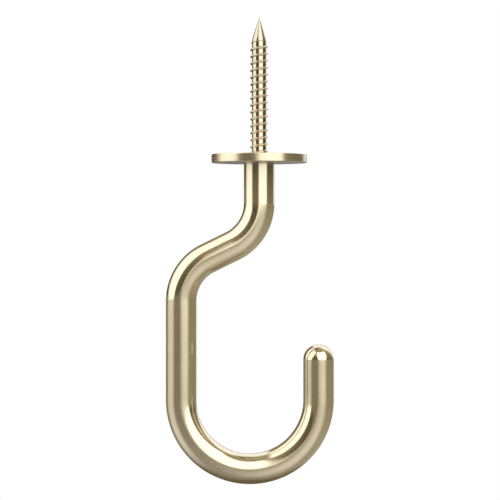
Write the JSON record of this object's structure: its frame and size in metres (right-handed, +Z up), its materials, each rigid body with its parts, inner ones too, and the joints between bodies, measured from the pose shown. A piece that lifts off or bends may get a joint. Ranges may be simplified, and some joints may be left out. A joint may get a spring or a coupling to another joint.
{
  "type": "ceiling hook",
  "caption": "Screw-in ceiling hook: wood screw and round ceiling plate carrying a round rod with a cranked neck, bent into an open J-shaped bowl with a rounded nose.",
  "frame": {"origin": "centre of the plate's upper face, the face that meets the ceiling, on the screw's axis", "axes": "+Z up along the screw towards its point; the hook lies in the XZ plane and opens towards +X; Y is across the rod"},
  "size_m": [0.044, 0.025, 0.1224],
  "materials": {
    "plated_steel": "pale champagne-bronze plated steel: fine brushed satin round the rod, polished on the nose, the plate and the screw"
  },
  "bodies": {
    "root": {"ceiling_hook": "plated_steel"}
  },
  "joints": []
}
